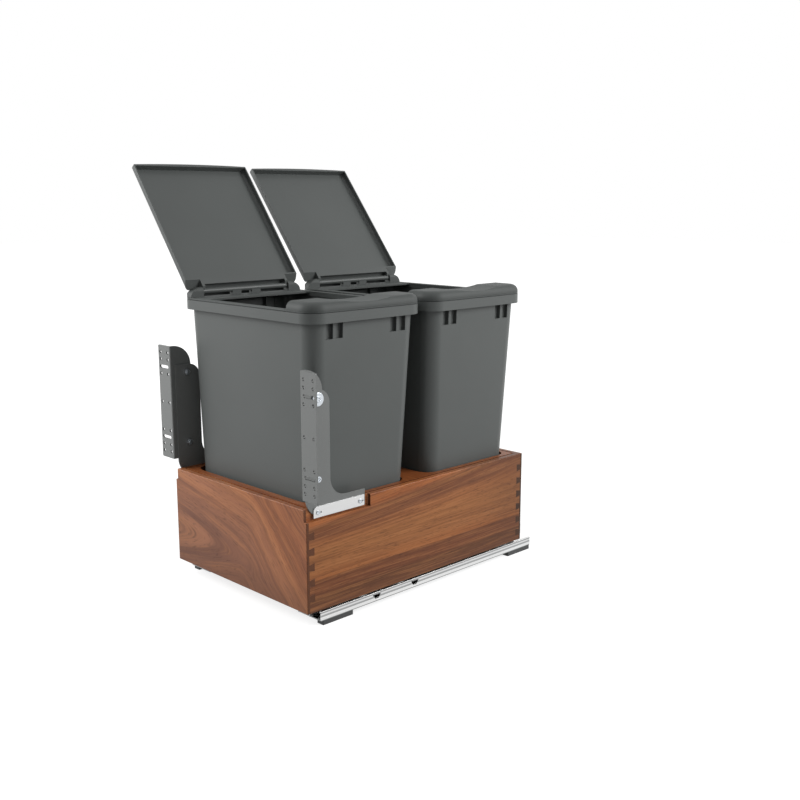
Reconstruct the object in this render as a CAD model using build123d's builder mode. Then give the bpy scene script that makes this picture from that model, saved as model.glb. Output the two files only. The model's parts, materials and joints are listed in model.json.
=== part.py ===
from build123d import *
import math
import os

# Pull-out double waste-bin unit for a base cabinet.
# Frame: X across, Y front to back with the door side at -Y, Z up.
# The origin is on the floor, in the middle of the four feet.

# ---------------------------------------------------------------- drawer box
box_width = 378.0           # outside, across
box_depth = 546.0           # outside, front to back
box_height = 176.0
box_floor = 27.0            # underside of the boards above the floor
board = 16.0                # thickness of the four boards
lap = 5.0                   # wood left in front of a half-blind dovetail
pin_root = 14.0             # pin height at the inner face of its board
pin_tip = 10.0              # pin height at the lap
front_pin_count = 5
front_pin_margin = 25.8     # first pin above the underside
front_pin_top = 44.6        # last pin below the top, clear of the bracket pocket
rear_pin_count = 6
rear_pin_margin = 16.9
rear_pin_top = 27.1
panel_thickness = 9.0       # bottom panel
panel_recess = 13.0         # underside of the bottom panel above the boards' edge
groove_depth = 6.0
groove_end_gap = 0.5
deck_thickness = 12.0
deck_rabbet = 3.0
edge_ease = 1.5             # small radius on the outer edges of the boards

# wood left around the cut-outs in the deck
hole_side_margin = 6.5      # to the inner face of a side board
hole_front_margin = 27.3    # to the box front
hole_rear_margin = 19.3     # to the box back
hole_gap = 47.4             # between the two cut-outs
hole_radius = 27.0

# pocket for the brackets in the top front corners
pocket_depth = 6.5
pocket_height = 20.5
pocket_length = 140.0
pocket_radius = 3.0

# ---------------------------------------------------------------- bins
rim_side_gap = 5.5          # rim inside the outer face of the box
rim_front_gap = 20.9        # first rim behind the box front
rim_rear_reach = 3.1        # second rim past the box back
rim_gap = 16.2              # between the two rims
bin_height = 465.3
rim_radius = 32.0
rim_height = 16.7
rim_plate = 2.5             # flat top of the rim
neck_inset = 9.0            # body behind the rim skirt, just under the rim
side_draft = 2.08           # degrees
front_draft = 1.02
rear_draft = 2.96
bin_wall = 2.5
bin_base = 3.0
bin_gap = 0.3               # bin base above the bottom panel
rib_pocket_width = 15.0
rib_pocket_gap = 6.0
rib_pocket_inset = 57.0     # middle of a pair of pockets from the end of the rim
rib_pocket_depth = 6.0
rib_pocket_drop = 9.6       # top of the pockets under the rim top
rib_pocket_height = 34.0

# ---------------------------------------------------------------- lid frames
frame_inset = 0.3           # frame edge inside the rim edge
frame_plate = 3.2
shadow_gap = 1.2            # rebate that makes the dark line over the rim
shadow_depth = 1.5
hinge_rail = 46.0           # hinge axis to the mouth of the frame
dome_lip = 1.5              # mouth of the frame to the dome
end_rail = 14.5             # rim end to the mouth of the frame
opening_radius = 8.0
ring_wall = 2.0             # locating ring inside the bin mouth
ring_depth = 5.6
ring_gap = 0.8
dome_length = 62.0
dome_height = 14.7          # above the frame plate
dome_radius = 13.0
dome_wall = 2.5
dome_dip = 5.0              # finger dip in the middle of the dome
dome_dip_margin = 66.0      # end of the dip from the end of the rim

# ---------------------------------------------------------------- lids
hinge_inset = 22.5          # hinge axis inside the rim edge
hinge_rise = 10.0           # hinge axis above the frame plate
front_lid_angle = 127.6     # both lids stand open past upright
rear_lid_angle = 128.6
lid_side_inset = 1.2        # lid inside the ends of the rim
lid_dome_gap = 1.1          # middle of the shut lid's free edge to the dome
lid_bow = 2.5               # middle of the free edge ahead of its corners
lid_rim_level = -9.4        # free edge of the skirt below the hinge, lid shut
lid_top_level = 5.0
lid_wall = 2.4
lid_lip = 5.5               # thickness of the skirt in the middle of the free edge
lid_edge_radius = 8.0
lid_end_low = 19.5          # corner cut-out at the skirt edge
lid_end_high = 7.0          # corner cut-out at the top surface
lid_free_radius = 1.5
lid_slot_edge = 9.0         # far edge of the slot beside the barrel, from the hinge axis
lid_arm_end = 4.5           # arms at both ends of the slot, from the hinge axis
lid_arm_width = 5.5
barrel_radius = 4.6
barrel_margin = 31.5        # barrel end from the end of the rim
strap_overlap = 1.0         # arms and straps past the outside of the sloped hinge wall
trunnion_radius = 3.0
trunnion_length = 8.0
trunnion_fit = 0.08         # radial running clearance
ear_radius = 8.0
ear_length = 28.0
ear_gap = 0.35              # barrel end to ear
rest_offset = 22.0          # barrel rests from the middle
rest_length = 20.0
rest_width = 9.0
rest_gap = 0.3
stand_inset = 6.0           # low wall behind the barrel, inside the rim edge
stand_wall = 2.0
stand_height = 4.0
stand_overrun = 12.0        # past the inner ends of the ears

# ---------------------------------------------------------------- brackets
plate_steel = 2.5
bend_radius = 2.2           # outside of the bend between flange and web
cover_steel = 2.0
flange_front = 4.4          # flange face in front of the box
flange_width = 38.2
flange_rise = 18.3          # lower edge above the box top
flange_height = 209.2
web_depth = 38.5            # rear edge of the web behind the box front
web_radius = 36.0
web_foot_radius = 15.0
inner_row = 8.4             # hole rows and slots from the inner edge of the flange
outer_row = 31.4
slot_row = 20.5
far_margin = 12.6           # holes and slots from the ends of the flange
mid_margin = 25.6
slot_margin = 39.1
near_margin = 52.1
flange_hole_radius = 3.0
slot_length = 27.0
slot_height = 6.0
foot_edge = 4.0             # front edge of the foot plate behind the box front
foot_upright = 51.5         # width of its upright part
foot_rise = 192.0           # top of the foot plate above the box top
foot_top_radius = 22.0
foot_waist_radius = 33.0
foot_shelf_rise = 11.0
foot_depth = 127.0
foot_drop = 15.5            # lower edge below the box top
foot_low_radius = 32.0
bolt_back = 28.0            # bolt axes behind the box front
upper_bolt_rise = 178.0     # above the box top
lower_bolt_rise = 47.0
bolt_radius = 3.0
bolt_fit = 0.3
disc_radius = 11.5
disc_thickness = 3.0
disc_ease = 1.0
bolt_head_radius = 5.0
bolt_head_height = 2.2
cross_width = 1.4
cross_depth = 1.4
nut_across_flats = 10.0
nut_height = 4.0
nut_fit = 0.05
bolt_spare = 1.0            # bolt end past its nut
cover_start = 17.5          # behind the box front
cover_length = 110.5
cover_drop = 16.6           # lower edge below the box top
cover_height = 18.6
cover_radius = 8.0
screw_drop = 8.5            # cover screws below the box top
front_screw = 27.0          # behind the box front
rear_screw = 118.7
screw_radius = 2.0
screw_fit = 0.1
screw_length = 10.5
screw_head_radius = 3.8
screw_head_height = 1.6
screw_cross_span = 5.4      # tips of the cross in a screw head
screw_cross_width = 1.0
peep_radius = 1.4           # small hole beside each cover screw
peep_step = 6.0

# ---------------------------------------------------------------- slides
rail_steel = 1.5
rail_start = 27.7           # front end of the fixed rail behind the box front
rail_reach = 30.0           # rear end of the fixed rail past the box back
rail_width = 59.0
rail_base = 8.0             # underside of the rail, on the feet
rail_lip_height = 24.4
rail_lip = 3.5
rail_rib_level = 15.6
rail_rib_height = 1.0
rail_rib_width = 2.0        # stiffening rib inside the upright leg
runner_inset = 17.0         # middle line of the runners inside the inner face of a side board
keel_width = 10.0           # upstanding channel that carries the runners
keel_top = 30.0
middle_width = 20.0
middle_top = 35.0
middle_low = 13.5
middle_start = 34.0         # behind the box front
middle_back_inset = 12.0    # rear end of the middle rail inside the box back
top_width = 30.0
top_start = 18.0            # behind the box front
runner_gap = 0.3
saddle_length = 60.0
upper_front_saddle = 11.0   # saddles from the front end of the middle rail
upper_rear_saddle = 166.0
lower_front_saddle = 234.0  # saddles from the rear end of the middle rail
lower_rear_saddle = 64.0
front_window = 154.2        # windows behind the box front
rear_window = 247.7
window_top = 19.4
window_base = 8.5
window_low = 12.9
window_high = 20.5
hook_width = 39.0
hook_inset = 2.0            # hook inside the outer face of the box
hook_top = 58.0
hook_steel = 2.0
hook_gap = 0.3
hook_pin_level = 50.0
hook_pin_radius = 2.5
hook_pin_length = 8.0
blind_spare = 1.0           # blind hole past the pin or trunnion in it
notch_width = 35.0
floor_foot_height = 8.0
floor_foot_width = 16.0
floor_foot_length = 66.7
floor_foot_reach = 0.3      # foot past the outer face of the rail
front_foot_inset = 4.45     # feet inside the ends of the rail
rear_foot_inset = 1.15
foot_hole_inset = 10.0      # screw holes inside the outer face of the rail
foot_hole_radius = 2.25
rivet_offset = 24.0
rivet_radius = 2.0
rivet_head_radius = 3.2
rivet_head_height = 1.0
damper_back = 66.0          # rear end inside the box back
damper_length = 150.0
damper_width = 7.5
damper_edge = 1.5           # inside the inner edge of the rail
damper_height = 15.0
clip_gap = 0.4              # locking clip to the drawer member
clip_width = 24.6
clip_start = 16.5           # behind the box front
clip_length = 58.0
clip_height = 11.5

# ---------------------------------------------------------------- derived
half_box = box_width / 2
rail_length = box_depth + rail_reach - rail_start
first_foot = rail_start + front_foot_inset
last_foot = rail_start + rail_length - rear_foot_inset - floor_foot_length
box_front = -(first_foot + last_foot + floor_foot_length) / 2
box_back = box_front + box_depth
box_top = box_floor + box_height
inner_face = half_box - board
panel_low = box_floor + panel_recess
panel_top = panel_low + panel_thickness
deck_low = box_top - deck_thickness
front_pin_pitch = (box_height - front_pin_margin - front_pin_top) / (front_pin_count - 1)
rear_pin_pitch = (box_height - rear_pin_margin - rear_pin_top) / (rear_pin_count - 1)

hole_half_width = inner_face - hole_side_margin
hole_length = (box_depth - hole_front_margin - hole_rear_margin - hole_gap) / 2
hole_middle = box_front + hole_front_margin + hole_length / 2
hole_middles = (hole_middle, hole_middle + hole_length + hole_gap)
pocket_plane = half_box - pocket_depth
pocket_low = box_top - pocket_height

rim_half_width = half_box - rim_side_gap
rim_length = (box_depth + rim_rear_reach - rim_front_gap - rim_gap) / 2
rim_half_length = rim_length / 2
bin_middle = box_front + rim_front_gap + rim_half_length
bin_middles = (bin_middle, bin_middle + rim_length + rim_gap)
bin_floor = panel_top + bin_gap
rim_top = bin_floor + bin_height
rib_pocket_offset = rim_half_length - rib_pocket_inset
rib_pocket_top = rim_top - rib_pocket_drop
rib_pocket_bottom = rib_pocket_top - rib_pocket_height

frame_top = rim_top + frame_plate
hinge_x = hinge_inset - rim_half_width
hinge_z = frame_top + hinge_rise
dome_front = rim_half_width - dome_length
opening_left = hinge_x + hinge_rail
opening_right = dome_front - dome_lip
opening_half_length = rim_half_length - end_rail
dome_dip_half_length = rim_half_length - dome_dip_margin
lid_width = rim_length - 2 * lid_side_inset
lid_length = dome_front - lid_dome_gap - hinge_x
barrel_half_length = rim_half_length - barrel_margin

web_inner = pocket_plane + plate_steel
web_outer = web_inner + plate_steel
cover_outer = web_inner + cover_steel
flange_low = box_top + flange_rise
flange_high = flange_low + flange_height
flange_middle = flange_low + flange_height / 2
hole_levels = [flange_height / 2 - margin for margin in (far_margin, mid_margin, near_margin)]
slot_level = flange_height / 2 - slot_margin
foot_top = box_top + foot_rise
foot_shelf = box_top + foot_shelf_rise
foot_low = box_top - foot_drop
cover_low = box_top - cover_drop
screw_level = box_top - screw_drop

rail_inner = half_box - rail_width
runner_middle = inner_face - runner_inset
keel_inner = runner_middle - keel_width / 2
keel_outer = runner_middle + keel_width / 2
middle_inner = runner_middle - middle_width / 2
middle_outer = runner_middle + middle_width / 2
middle_length = box_depth - middle_start - middle_back_inset
top_inner = runner_middle - top_width / 2
top_outer = runner_middle + top_width / 2
notch_inner = inner_face - notch_width
hook_outer = half_box - hook_inset
hook_inner = hook_outer - hook_width
foot_outer = half_box + floor_foot_reach
foot_hole_x = half_box - foot_hole_inset
damper_inner = rail_inner + damper_edge
clip_outer = top_inner - clip_gap
clip_inner = clip_outer - clip_width

os.makedirs("parts", exist_ok=True)


def across(y):
    """Upright plane at depth y that faces the front; sketches there are (x, z)."""
    return Plane.XZ.offset(-y)


def behind(*offsets):
    """Depths behind the box front as depths in the frame."""
    return [box_front + offset for offset in offsets]


def save(name, solid):
    """Label one finished piece and write it."""
    solid.label = name
    export_step(solid, f"parts/{name}.step")


def save_pair(name, right_solid):
    """Write the right-hand piece and its mirror image."""
    with BuildPart() as left_piece:
        mirror(right_solid, about=Plane.YZ)
    save(f"right_{name}", right_solid)
    save(f"left_{name}", left_piece.part)


# ================================================================ drawer box
front_pins = [box_floor + front_pin_margin + front_pin_pitch * i for i in range(front_pin_count)]
rear_pins = [box_floor + rear_pin_margin + rear_pin_pitch * i for i in range(rear_pin_count)]
front_lap = box_front + lap
front_inside = box_front + board
rear_lap = box_back - lap
rear_inside = box_back - board


def pin_outline(levels, root_y, tip_y):
    """Dovetail pins on an upright lengthwise sketch: tall at the root, short at the tip."""
    for level in levels:
        Polygon(
            (root_y, level - pin_root / 2), (root_y, level + pin_root / 2),
            (tip_y, level + pin_tip / 2), (tip_y, level - pin_tip / 2), align=None)


with BuildPart() as front_pin_set:
    with BuildSketch(Plane.YZ.offset(inner_face)):
        pin_outline(front_pins, front_inside, front_lap)
    extrude(amount=board)

with BuildPart() as rear_pin_set:
    with BuildSketch(Plane.YZ.offset(inner_face)):
        pin_outline(rear_pins, rear_inside, rear_lap)
    extrude(amount=board)

# the bracket pocket runs through the end of the front board into the side board
with BuildPart() as bracket_pocket:
    with BuildSketch(Plane.XY.offset(pocket_low)):
        with Locations((pocket_plane + pocket_depth, box_front + pocket_length / 2)):
            Rectangle(2 * pocket_depth, pocket_length)
    extrude(amount=2 * pocket_height)
    fillet(bracket_pocket.edges().filter_by(Axis.Z).sort_by(Axis.Y)[-2:], pocket_radius)

# pilot holes for the cover screws
with BuildPart() as screw_pilots:
    with BuildSketch(Plane.YZ.offset(pocket_plane)):
        with Locations(*[(y, screw_level) for y in behind(front_screw, rear_screw)]):
            Circle(screw_radius + screw_fit)
    extrude(amount=-screw_length + plate_steel + cover_steel - screw_fit)

with BuildPart() as right_side:
    with BuildSketch(Plane.YZ.offset(inner_face)):
        with Locations((front_lap, box_floor)):
            Rectangle(box_depth - 2 * lap, box_height, align=(Align.MIN, Align.MIN))
    extrude(amount=board)
    fillet(right_side.edges().filter_by(Axis.Y).group_by(Axis.X)[-1], edge_ease)
    add(front_pin_set.part, mode=Mode.SUBTRACT)
    add(rear_pin_set.part, mode=Mode.SUBTRACT)
    with BuildSketch(Plane.YZ.offset(inner_face)):
        with Locations((box_front + box_depth / 2, panel_low + panel_thickness / 2)):
            Rectangle(box_depth - 2 * (board - groove_depth), panel_thickness)
        with Locations((box_front + box_depth / 2, box_top - deck_thickness / 2)):
            Rectangle(box_depth - 2 * (board - deck_rabbet), deck_thickness)
    extrude(amount=groove_depth, mode=Mode.SUBTRACT)
    add(bracket_pocket.part, mode=Mode.SUBTRACT)
    add(screw_pilots.part, mode=Mode.SUBTRACT)

with BuildPart() as front_panel:
    with BuildSketch(Plane.XY.offset(box_floor)):
        with Locations((0, box_front + board / 2)):
            Rectangle(box_width, board)
    extrude(amount=box_height)
    fillet(front_panel.edges().filter_by(Axis.Z).group_by(Axis.Y)[0], edge_ease)
    fillet(front_panel.edges().filter_by(Axis.X).group_by(Axis.Y)[0], edge_ease)
    with BuildSketch(Plane.XY.offset(box_floor)):
        with Locations((half_box - board / 2, front_lap + (board - lap) / 2),
                       (board / 2 - half_box, front_lap + (board - lap) / 2)):
            Rectangle(board, board - lap)
    extrude(amount=box_height, mode=Mode.SUBTRACT)
    add(front_pin_set.part)
    mirror(front_pin_set.part, about=Plane.YZ)
    with BuildSketch(across(front_inside)):
        with Locations((0, panel_low + panel_thickness / 2)):
            Rectangle(2 * (inner_face + groove_depth), panel_thickness)
        with Locations((0, box_top - deck_thickness / 2)):
            Rectangle(2 * (inner_face + deck_rabbet), deck_thickness)
    extrude(amount=groove_depth, mode=Mode.SUBTRACT)
    add(bracket_pocket.part, mode=Mode.SUBTRACT)
    mirror(bracket_pocket.part, about=Plane.YZ, mode=Mode.SUBTRACT)

with BuildPart() as back_panel:
    with BuildSketch(Plane.XY.offset(box_floor)):
        with Locations((0, box_back - board / 2)):
            Rectangle(box_width, board)
    extrude(amount=box_height)
    fillet(back_panel.edges().filter_by(Axis.Z).group_by(Axis.Y)[-1], edge_ease)
    fillet(back_panel.edges().filter_by(Axis.X).group_by(Axis.Y)[-1], edge_ease)
    with BuildSketch(Plane.XY.offset(box_floor)):
        with Locations((half_box - board / 2, rear_lap - (board - lap) / 2),
                       (board / 2 - half_box, rear_lap - (board - lap) / 2)):
            Rectangle(board, board - lap)
    extrude(amount=box_height, mode=Mode.SUBTRACT)
    add(rear_pin_set.part)
    mirror(rear_pin_set.part, about=Plane.YZ)
    with BuildSketch(across(rear_inside + groove_depth)):
        with Locations((0, panel_low + panel_thickness / 2)):
            Rectangle(2 * (inner_face + groove_depth), panel_thickness)
        with Locations((0, box_top - deck_thickness / 2)):
            Rectangle(2 * (inner_face + deck_rabbet), deck_thickness)
    extrude(amount=groove_depth, mode=Mode.SUBTRACT)
    # notches that let the slides through, and the holes for their hooks
    with BuildSketch(across(box_back)):
        with Locations(((notch_inner + inner_face) / 2, box_floor + panel_recess / 2),
                       (-(notch_inner + inner_face) / 2, box_floor + panel_recess / 2)):
            Rectangle(inner_face - notch_inner, panel_recess)
    extrude(amount=board, mode=Mode.SUBTRACT)
    with BuildSketch(across(box_back)):
        with Locations((runner_middle, hook_pin_level), (-runner_middle, hook_pin_level)):
            Circle(hook_pin_radius + screw_fit)
    extrude(amount=hook_pin_length + blind_spare, mode=Mode.SUBTRACT)

with BuildPart() as bottom_panel:
    with BuildSketch(Plane.XY.offset(panel_low)):
        with Locations((0, box_front + box_depth / 2)):
            Rectangle(
                2 * (inner_face + groove_depth - groove_end_gap),
                box_depth - 2 * (board - groove_depth + groove_end_gap))
    extrude(amount=panel_thickness)

with BuildPart() as bin_deck:
    with BuildSketch(Plane.XY.offset(deck_low)):
        with Locations((0, box_front + box_depth / 2)):
            Rectangle(2 * (inner_face + deck_rabbet), box_depth - 2 * (board - deck_rabbet))
        with Locations(*[(0, y) for y in hole_middles]):
            RectangleRounded(2 * hole_half_width, hole_length, hole_radius, mode=Mode.SUBTRACT)
    extrude(amount=deck_thickness)

save("front_panel", front_panel.part)
save("back_panel", back_panel.part)
save("bottom_panel", bottom_panel.part)
save("bin_deck", bin_deck.part)
save_pair("side", right_side.part)


# ================================================================ bins
def bin_section(level, inset):
    """Size and middle of the bin body at a level, grown inwards by an inset."""
    drop = rim_top - rim_plate - level
    side = neck_inset + drop * math.tan(math.radians(side_draft)) + inset
    front = neck_inset + drop * math.tan(math.radians(front_draft)) + inset
    rear = neck_inset + drop * math.tan(math.radians(rear_draft)) + inset
    return (2 * (rim_half_width - side), rim_length - front - rear, (front - rear) / 2)


def bin_outline(level, middle, inset):
    """Rounded outline of the bin body at a level."""
    width, length, shift = bin_section(level, inset)
    with Locations((0, middle + shift)):
        RectangleRounded(width, length, rim_radius - neck_inset / 2 - inset)


def rib_pocket_spots(middle):
    """Middles of the four under-rim pockets of one side."""
    step = (rib_pocket_width + rib_pocket_gap) / 2
    return [middle + pair * rib_pocket_offset + side * step for pair in (-1, 1) for side in (-1, 1)]


def rib_pocket_blocks(middle, grow):
    """Solids of the pockets on both sides of a bin, grown by a wall."""
    floor_x = bin_section(rib_pocket_bottom, 0)[0] / 2 - rib_pocket_depth - grow
    with BuildPart() as blocks:
        with BuildSketch(Plane.XY.offset(rib_pocket_bottom - grow)):
            with Locations(*[(side * (floor_x + 2 * rib_pocket_depth), y)
                             for side in (-1, 1) for y in rib_pocket_spots(middle)]):
                Rectangle(4 * rib_pocket_depth, rib_pocket_width + 2 * grow)
        extrude(amount=rib_pocket_top - rib_pocket_bottom + 2 * grow)
    return blocks.part


def make_bin(middle):
    """Tapered bin with its folded rim and under-rim pockets."""
    with BuildPart() as cavity:
        for level in (bin_floor + bin_base, rim_top):
            with BuildSketch(Plane.XY.offset(level)):
                bin_outline(level, middle, bin_wall)
        loft()
        add(rib_pocket_blocks(middle, bin_wall), mode=Mode.SUBTRACT)
    with BuildPart() as bin_shell:
        for level in (bin_floor, rim_top):
            with BuildSketch(Plane.XY.offset(level)):
                bin_outline(level, middle, 0)
        loft()
        fillet(bin_shell.faces().sort_by(Axis.Z)[0].edges(), 2 * bin_base)
        add(rib_pocket_blocks(middle, 0), mode=Mode.SUBTRACT)
        with BuildSketch(Plane.XY.offset(rim_top - rim_height)):
            with Locations((0, middle)):
                RectangleRounded(2 * rim_half_width, rim_length, rim_radius)
                RectangleRounded(
                    2 * (rim_half_width - bin_wall), rim_length - 2 * bin_wall,
                    rim_radius - bin_wall, mode=Mode.SUBTRACT)
        extrude(amount=rim_height)
        with BuildSketch(Plane.XY.offset(rim_top - rim_plate)):
            with Locations((0, middle)):
                RectangleRounded(2 * rim_half_width, rim_length, rim_radius)
        extrude(amount=rim_plate)
        add(cavity.part, mode=Mode.SUBTRACT)
    return bin_shell.part


# ================================================================ lid frames
def frame_outline(middle, inset):
    """Rounded outline that follows the bin rim."""
    with Locations((0, middle)):
        RectangleRounded(
            2 * (rim_half_width - inset), rim_length - 2 * inset, rim_radius - inset)


def dome_outline(middle, inset):
    """Outline of the fixed dome: the rim outline behind the lid's free edge."""
    frame_outline(middle, frame_inset + inset)
    with Locations((dome_front + inset, middle)):
        Rectangle(4 * rim_half_width, 2 * rim_length, align=(Align.MAX, Align.CENTER),
                  mode=Mode.SUBTRACT)


def make_ears(middle):
    """Two hinge ears, round over the hinge axis and sloped to the rim at their outer ends."""
    inner_end = barrel_half_length + ear_gap
    with BuildPart() as ears:
        for side in (-1, 1):
            with BuildSketch(across(middle + side * inner_end)):
                with Locations((hinge_x, hinge_z)):
                    Circle(ear_radius)
                with Locations((hinge_x, frame_top)):
                    Rectangle(2 * ear_radius, hinge_z - frame_top,
                              align=(Align.CENTER, Align.MIN))
            extrude(amount=-side * ear_length)
        with BuildSketch(Plane.YZ.offset(hinge_x - ear_radius)):
            with Locations((middle, frame_top)):
                Rectangle(2 * inner_end, 2 * ear_radius + hinge_z, align=(Align.CENTER, Align.MIN))
                with Locations((inner_end, 0), (-inner_end, 0)):
                    Ellipse(ear_length, hinge_z + ear_radius - frame_top)
        extrude(amount=2 * ear_radius, mode=Mode.INTERSECT)
        with BuildSketch(Plane.XY.offset(frame_top)):
            frame_outline(middle, frame_inset)
        extrude(amount=4 * ear_radius, mode=Mode.INTERSECT)
        with BuildSketch(across(middle + inner_end + trunnion_length + blind_spare)):
            with Locations((hinge_x, hinge_z)):
                Circle(trunnion_radius + trunnion_fit)
        extrude(amount=2 * (inner_end + trunnion_length + blind_spare), mode=Mode.SUBTRACT)
    return ears.part


def make_dome(middle):
    """Fixed dome at the latch end, hollow from below, with a finger dip in its front edge."""
    dip_radius = (dome_dip_half_length ** 2 + dome_dip ** 2) / (2 * dome_dip)
    crest = frame_top + dome_height
    with BuildPart() as dome_core:
        with BuildSketch(Plane.XY.offset(rim_top)):
            dome_outline(middle, dome_wall)
        extrude(amount=frame_plate + dome_height - dome_wall)
        top_edges = dome_core.faces().sort_by(Axis.Z)[-1].edges().sort_by(Axis.X)[1:]
        fillet(top_edges, dome_radius - dome_wall)
        with BuildSketch(Plane.YZ.offset(dome_front)):
            with Locations((middle, crest - dome_dip + dip_radius)):
                Circle(dip_radius + dome_wall)
        extrude(amount=rim_half_width - dome_front, mode=Mode.SUBTRACT)
    with BuildPart() as dome:
        with BuildSketch(Plane.XY.offset(frame_top)):
            dome_outline(middle, 0)
        extrude(amount=dome_height)
        top_edges = dome.faces().sort_by(Axis.Z)[-1].edges().sort_by(Axis.X)[1:]
        fillet(top_edges, dome_radius)
        with BuildSketch(Plane.YZ.offset(dome_front)):
            with Locations((middle, crest - dome_dip + dip_radius)):
                Circle(dip_radius)
        extrude(amount=rim_half_width - dome_front, mode=Mode.SUBTRACT)
    return dome.part, dome_core.part


def make_lid_frame(middle):
    """Frame that snaps on the rim: rails, locating ring, ears, barrel rests, dome."""
    dome, dome_core = make_dome(middle)
    with BuildPart() as lid_frame:
        with BuildSketch(Plane.XY.offset(rim_top)):
            frame_outline(middle, frame_inset + shadow_depth)
        extrude(amount=shadow_gap)
        with BuildSketch(Plane.XY.offset(rim_top + shadow_gap)):
            frame_outline(middle, frame_inset)
        extrude(amount=frame_plate - shadow_gap)
        fillet(lid_frame.faces().sort_by(Axis.Z)[-1].edges(), frame_plate / 3)
        with BuildSketch(Plane.XY.offset(rim_top - ring_depth)):
            bin_outline(rim_top, middle, bin_wall + ring_gap)
        extrude(amount=ring_depth)
        add(dome)
        add(make_ears(middle))
        with BuildSketch(Plane.XY.offset(frame_top)):
            with Locations((hinge_x, middle - rest_offset), (hinge_x, middle + rest_offset)):
                Rectangle(rest_width, rest_length)
        extrude(amount=hinge_z - frame_top)
        with BuildSketch(Plane.XY.offset(frame_top)):
            with Locations((stand_inset + stand_wall / 2 - rim_half_width, middle)):
                Rectangle(stand_wall, 2 * (barrel_half_length + ear_gap + stand_overrun))
        extrude(amount=stand_height)
        with BuildSketch(across(middle + barrel_half_length)):
            with Locations((hinge_x, hinge_z)):
                Circle(barrel_radius + rest_gap)
        extrude(amount=2 * barrel_half_length, mode=Mode.SUBTRACT)
        with BuildSketch(Plane.XY.offset(rim_top - ring_depth)):
            bin_outline(rim_top, middle, bin_wall + ring_gap + ring_wall)
        extrude(amount=ring_depth, mode=Mode.SUBTRACT)
        with BuildSketch(Plane.XY.offset(rim_top)):
            with Locations(((opening_left + opening_right) / 2, middle)):
                RectangleRounded(
                    opening_right - opening_left, 2 * opening_half_length, opening_radius)
        extrude(amount=2 * dome_height, mode=Mode.SUBTRACT)
        add(dome_core, mode=Mode.SUBTRACT)
    return lid_frame.part


# ================================================================ lids
def lid_outline():
    """Plan outline of a shut lid with a bowed free edge; sketch axes are (along, across)."""
    bow_radius = ((lid_width / 2) ** 2 + lid_bow ** 2) / (2 * lid_bow)
    Rectangle(lid_length, lid_width, align=(Align.MIN, Align.CENTER))
    with Locations((lid_length - bow_radius, 0)):
        Circle(bow_radius, mode=Mode.INTERSECT)


def hinge_wedge(inset):
    """Side outline of what the sloped hinge wall leaves open at the hinge end."""
    Polygon(
        (0, lid_rim_level), (lid_end_low + inset, lid_rim_level),
        (lid_end_high + inset, lid_top_level), (0, lid_top_level), align=None)


def make_lid(middle, angle):
    """Shallow lid with a skirt, and a barrel with two trunnions between the ears."""
    turn = math.radians(angle)
    along = (math.cos(turn), 0, math.sin(turn))
    upwards = (-math.sin(turn), 0, math.cos(turn))
    hinge = Vector(hinge_x, middle, hinge_z)
    lid_along, lid_up = Axis(hinge, along), Axis(hinge, upwards)
    rim_plane = Plane(origin=hinge + lid_rim_level * Vector(upwards), x_dir=along, z_dir=upwards)

    def side_plane(offset):
        """Lengthwise plane beside the lid's middle; sketches there are (along, up)."""
        return Plane(origin=hinge + Vector(0, offset, 0), x_dir=along, z_dir=(0, -1, 0))

    with BuildPart() as lid_core:
        with BuildSketch(rim_plane):
            Rectangle(lid_length - lid_lip, lid_width - 2 * lid_wall,
                      align=(Align.MIN, Align.CENTER))
        extrude(amount=lid_top_level - lid_wall - lid_rim_level)
        core_edges = lid_core.faces().sort_by(lid_up)[-1].edges()
        fillet(core_edges.filter_by(lid_along), lid_edge_radius - lid_wall)
        with BuildSketch(side_plane(lid_width / 2)):
            hinge_wedge(lid_wall)
        extrude(amount=lid_width, mode=Mode.SUBTRACT)
    with BuildPart() as lid:
        with BuildSketch(rim_plane):
            lid_outline()
        extrude(amount=lid_top_level - lid_rim_level)
        top_edges = lid.faces().sort_by(lid_up)[-1].edges()
        fillet(top_edges.filter_by(lid_along), lid_edge_radius)
        free_edges = lid.faces().sort_by(lid_along)[-1].edges().sort_by(lid_up)[-3:]
        fillet(free_edges, lid_free_radius)
        with BuildSketch(side_plane(lid_width / 2)):
            hinge_wedge(0)
        extrude(amount=lid_width, mode=Mode.SUBTRACT)
        add(lid_core.part, mode=Mode.SUBTRACT)
        # barrel, the strap over it, and the lip on the far side of its slot
        with BuildSketch(side_plane(barrel_half_length)):
            Circle(barrel_radius)
            with Locations((barrel_radius / 2, lid_top_level)):
                Rectangle(lid_end_high + strap_overlap - barrel_radius / 2, lid_wall,
                          align=(Align.MIN, Align.MAX))
            with Locations((lid_slot_edge, lid_rim_level)):
                Rectangle(lid_end_low + strap_overlap - lid_slot_edge, lid_wall,
                          align=(Align.MIN, Align.MIN))
        extrude(amount=2 * barrel_half_length)
        for offset in (barrel_half_length, lid_arm_width - barrel_half_length):
            with BuildSketch(side_plane(offset)):
                Polygon(
                    (0, barrel_radius), (lid_end_high + strap_overlap, lid_top_level),
                    (lid_end_low + strap_overlap, lid_rim_level), (lid_arm_end, lid_rim_level),
                    (0, -barrel_radius), align=None)
            extrude(amount=lid_arm_width)
        with BuildSketch(side_plane(barrel_half_length + trunnion_length)):
            Circle(trunnion_radius)
        extrude(amount=2 * (barrel_half_length + trunnion_length))
    return lid.part


for place, middle, angle in zip(("front", "rear"), bin_middles, (front_lid_angle, rear_lid_angle)):
    save(f"{place}_bin", make_bin(middle))
    save(f"{place}_lid_frame", make_lid_frame(middle))
    save(f"{place}_lid", make_lid(middle, angle))

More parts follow.
